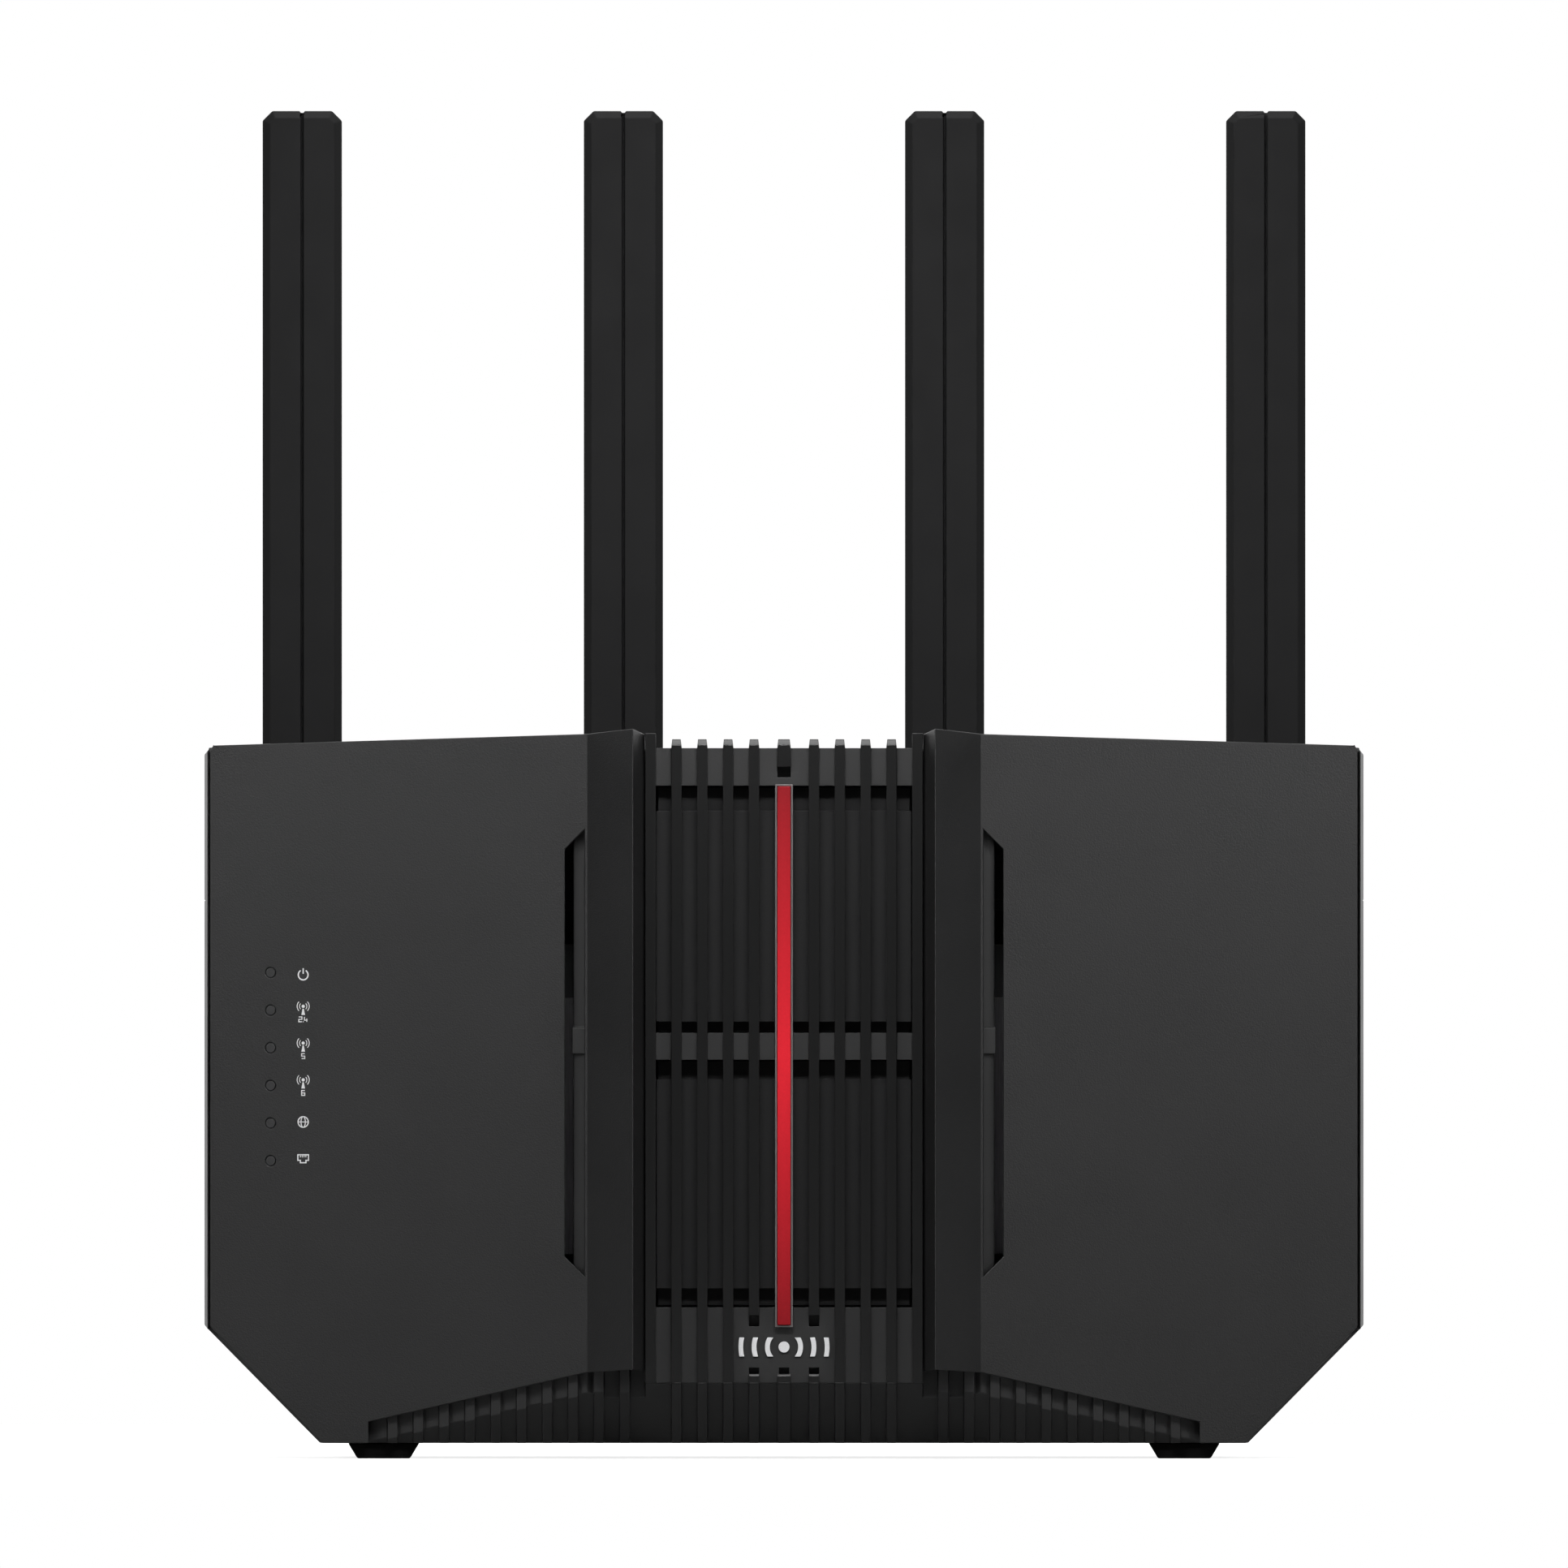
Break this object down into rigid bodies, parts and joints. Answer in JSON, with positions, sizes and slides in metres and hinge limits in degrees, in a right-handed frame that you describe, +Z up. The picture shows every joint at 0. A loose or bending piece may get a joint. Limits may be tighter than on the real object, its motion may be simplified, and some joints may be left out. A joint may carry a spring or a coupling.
{
  "type": "wireless router",
  "caption": "Upright wireless router with swept wings, a ribbed vent column with a red light bar and folding blade antennas.",
  "frame": {"origin": "on the table, under the middle of the body's outline", "axes": "+Z up, the front with the light bar faces -Y, +X to the viewer's right"},
  "size_m": [0.262, 0.075, 0.3046],
  "materials": {
    "housing": "fine grained black",
    "housing_back": "fine grained black",
    "cover": "fine grained dark grey",
    "grille": "satin dark grey",
    "vent_panel": "grained black",
    "light_bar": "translucent red",
    "bezel": "satin dark grey",
    "badge": "satin silver",
    "lens": "smoked",
    "board": "black solder mask",
    "shield": "plain",
    "pad": "soft",
    "heat_sink": "black anodised",
    "port_plate": "fine grained black",
    "jack_blue": "moulded blue",
    "jack_yellow": "moulded yellow",
    "inlet": "moulded black",
    "contact": "gold plated",
    "button": "satin black",
    "reset": "moulded red",
    "label": "printed film, blank",
    "feet": "moulded rubber",
    "screw": "zinc plated",
    "lead": "smooth black jacket",
    "antenna_base": "satin black",
    "antenna": "satin black"
  },
  "bodies": {
    "housing": {"front_housing": "housing", "rear_housing": "housing_back", "upper_back_cover": "housing_back", "left_wing_cover": "cover", "right_wing_cover": "cover", "centre_grille": "grille", "upper_vent_panel": "vent_panel", "lower_vent_panel": "vent_panel", "light_bar": "light_bar", "light_bar_bezel": "bezel", "badge": "badge", "led_lenses": "lens", "led_board": "board", "light_bar_board": "board", "main_board": "board", "rf_shields": "shield", "thermal_pads": "pad", "heat_sink": "heat_sink", "port_plate": "port_plate", "wan_jack": "jack_blue", "lan_jacks": "jack_yellow", "usb_shell": "shield", "usb_tongue": "jack_blue", "dc_inlet": "inlet", "dc_pin": "contact", "power_switch": "inlet", "tact_switches": "shield", "rating_label": "label", "rubber_feet": "feet", "housing_screws": "screw", "board_screws": "screw", "coax_leads": "lead"},
    "power_button": {"power_button": "button"},
    "wps_button": {"wps_button": "button"},
    "reset_button": {"reset_button": "reset"},
    "antenna_stand_1": {"antenna_base_1": "antenna_base", "antenna_nut_1": "screw", "hinge_pin_1": "screw"},
    "antenna_blade_1": {"antenna_front_1": "antenna", "antenna_rear_1": "antenna", "antenna_board_1": "board"},
    "antenna_stand_2": {"antenna_base_2": "antenna_base", "antenna_nut_2": "screw", "hinge_pin_2": "screw"},
    "antenna_blade_2": {"antenna_front_2": "antenna", "antenna_rear_2": "antenna", "antenna_board_2": "board"},
    "antenna_stand_3": {"antenna_base_3": "antenna_base", "antenna_nut_3": "screw", "hinge_pin_3": "screw"},
    "antenna_blade_3": {"antenna_front_3": "antenna", "antenna_rear_3": "antenna", "antenna_board_3": "board"},
    "antenna_stand_4": {"antenna_base_4": "antenna_base", "antenna_nut_4": "screw", "hinge_pin_4": "screw"},
    "antenna_blade_4": {"antenna_front_4": "antenna", "antenna_rear_4": "antenna", "antenna_board_4": "board"}
  },
  "joints": [
    {"name": "antenna_swivel_1", "type": "hinge", "parent": "housing", "child": "antenna_stand_1", "pos_m": [-0.10905, 0.0202, 0.126], "axis": [0, 0, 1], "range_deg": [-45, 45]},
    {"name": "antenna_tilt_1", "type": "hinge", "parent": "antenna_stand_1", "child": "antenna_blade_1", "pos_m": [-0.10905, 0.0202, 0.136], "axis": [-1, 0, 0], "range_deg": [0, 90]},
    {"name": "antenna_swivel_2", "type": "hinge", "parent": "housing", "child": "antenna_stand_2", "pos_m": [-0.03635, 0.0202, 0.126], "axis": [0, 0, 1], "range_deg": [-45, 45]},
    {"name": "antenna_tilt_2", "type": "hinge", "parent": "antenna_stand_2", "child": "antenna_blade_2", "pos_m": [-0.03635, 0.0202, 0.136], "axis": [-1, 0, 0], "range_deg": [0, 90]},
    {"name": "antenna_swivel_3", "type": "hinge", "parent": "housing", "child": "antenna_stand_3", "pos_m": [0.03635, 0.0202, 0.126], "axis": [0, 0, 1], "range_deg": [-45, 45]},
    {"name": "antenna_tilt_3", "type": "hinge", "parent": "antenna_stand_3", "child": "antenna_blade_3", "pos_m": [0.03635, 0.0202, 0.136], "axis": [-1, 0, 0], "range_deg": [0, 90]},
    {"name": "antenna_swivel_4", "type": "hinge", "parent": "housing", "child": "antenna_stand_4", "pos_m": [0.10905, 0.0202, 0.126], "axis": [0, 0, 1], "range_deg": [-45, 45]},
    {"name": "antenna_tilt_4", "type": "hinge", "parent": "antenna_stand_4", "child": "antenna_blade_4", "pos_m": [0.10905, 0.0202, 0.136], "axis": [-1, 0, 0], "range_deg": [0, 90]},
    {"name": "power_press", "type": "slide", "parent": "housing", "child": "power_button", "axis": [0, -1, 0], "range_m": [0, 0.002], "stiffness_N_per_m": 400, "springref_m": -0.0004},
    {"name": "wps_press", "type": "slide", "parent": "housing", "child": "wps_button", "axis": [0, -1, 0], "range_m": [0, 0.0006], "stiffness_N_per_m": 400, "springref_m": -0.0004},
    {"name": "reset_press", "type": "slide", "parent": "housing", "child": "reset_button", "axis": [0, -1, 0], "range_m": [0, 0.0006], "stiffness_N_per_m": 400, "springref_m": -0.0004}
  ]
}
